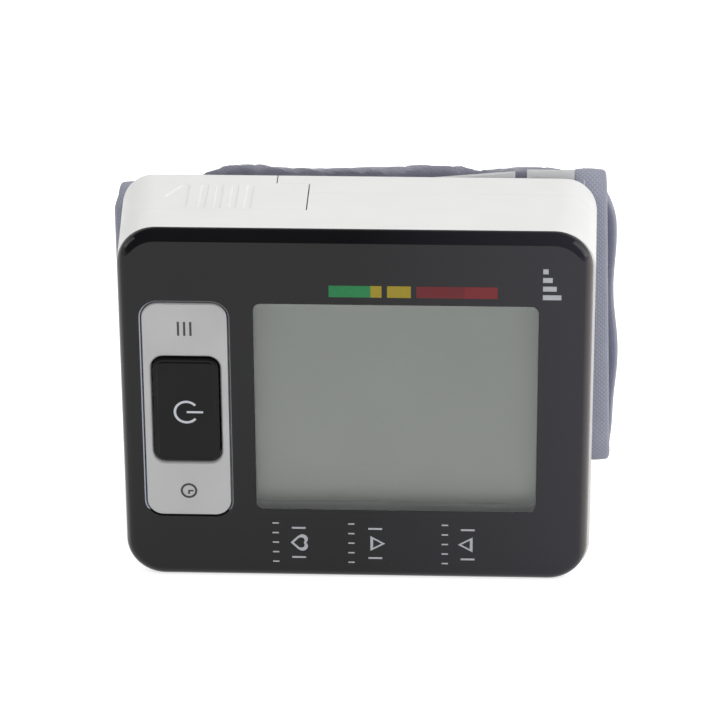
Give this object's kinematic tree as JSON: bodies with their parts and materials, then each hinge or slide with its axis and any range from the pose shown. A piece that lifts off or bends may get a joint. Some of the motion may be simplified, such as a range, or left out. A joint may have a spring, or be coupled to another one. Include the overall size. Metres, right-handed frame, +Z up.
{
  "type": "wrist blood pressure monitor",
  "caption": "Wrist blood pressure monitor with a black face, display window, silver rocker plate, power button, sliding battery cover and a closed fabric cuff.",
  "frame": {"origin": "middle of the flat long side that the case stands on, half way through the case's thickness", "axes": "+X along the case's long side, the display's reading-up direction; +Y from the face to the back; +Z up"},
  "size_m": [0.0884, 0.0407, 0.0662],
  "materials": {
    "case_white": "satin",
    "face_black": "gloss",
    "lens_clear": "gloss",
    "display_glass": "gloss",
    "display_grey": "satin",
    "plate_silver": "satin",
    "button_black": "satin",
    "board_green": "satin",
    "component_black": "matte",
    "rubber_black": "matte",
    "cell_wrap": "satin",
    "contact_steel": "satin",
    "motor_steel": "satin",
    "crank_brass": "satin",
    "fitting_grey": "satin",
    "hose_silicone": "satin",
    "sheet_translucent": "satin",
    "cuff_fabric": "matte",
    "cuff_tape": "matte",
    "cuff_lining": "matte",
    "hook_fabric": "matte"
  },
  "bodies": {
    "case": {"front_shell": "case_white", "rear_shell": "case_white", "face_panel": "face_black", "window_lens": "lens_clear", "lcd_frame": "display_grey", "lcd_glass": "display_glass", "lcd_reflector": "display_grey", "lcd_connector": "rubber_black", "tact_switch_power": "component_black", "tact_switch_set": "component_black", "tact_switch_memory": "component_black", "main_board": "board_green", "controller_chip": "component_black", "buzzer": "component_black", "battery_1": "cell_wrap", "battery_2": "cell_wrap", "series_contact": "contact_steel", "positive_contact": "contact_steel", "negative_contact": "contact_steel", "series_spring": "contact_steel", "negative_spring": "contact_steel", "case_screw_1": "contact_steel", "case_screw_2": "contact_steel", "case_screw_3": "contact_steel", "case_screw_4": "contact_steel", "pump_motor": "motor_steel", "pump_housing": "component_black", "pump_diaphragm": "rubber_black", "pump_cap": "fitting_grey", "air_manifold": "fitting_grey", "hose_pump": "hose_silicone", "hose_sensor": "hose_silicone", "hose_valve": "hose_silicone", "hose_cuff": "hose_silicone", "cuff_port": "fitting_grey", "valve_body": "component_black", "pressure_sensor": "fitting_grey", "cuff_stiffener": "sheet_translucent", "cuff_outer": "cuff_fabric", "cuff_bladder": "rubber_black", "cuff_lining": "cuff_lining", "cuff_edge_left": "cuff_tape", "cuff_edge_right": "cuff_tape", "hook_patch": "hook_fabric", "cuff_flap": "cuff_fabric"},
    "power_button": {"power_button": "button_black"},
    "button_plate": {"button_plate": "plate_silver"},
    "battery_cover": {"battery_cover": "case_white"},
    "pump_crank": {"pump_crank": "crank_brass"},
    "valve_plunger": {"valve_plunger": "contact_steel"}
  },
  "joints": [
    {"name": "power_button_press", "type": "slide", "parent": "case", "child": "power_button", "axis": [0, 1, 0], "range_m": [0, 0.0005], "stiffness_N_per_m": 800},
    {"name": "button_plate_rock", "type": "hinge", "parent": "case", "child": "button_plate", "pos_m": [-0.0287, -0.012, 0.0327], "axis": [1, 0, 0], "range_deg": [-2, 2], "stiffness_Nm_per_rad": 0.3},
    {"name": "battery_cover_slide", "type": "slide", "parent": "case", "child": "battery_cover", "axis": [-1, 0, 0], "range_m": [0, 0.03]},
    {"name": "pump_crank_spin", "type": "hinge", "parent": "case", "child": "pump_crank", "pos_m": [0.027, 0.0049, 0.0245], "axis": [0, 0, 1], "continuous": true},
    {"name": "valve_plunger_slide", "type": "slide", "parent": "case", "child": "valve_plunger", "axis": [1, 0, 0], "range_m": [0, 0.0006], "stiffness_N_per_m": 200}
  ]
}
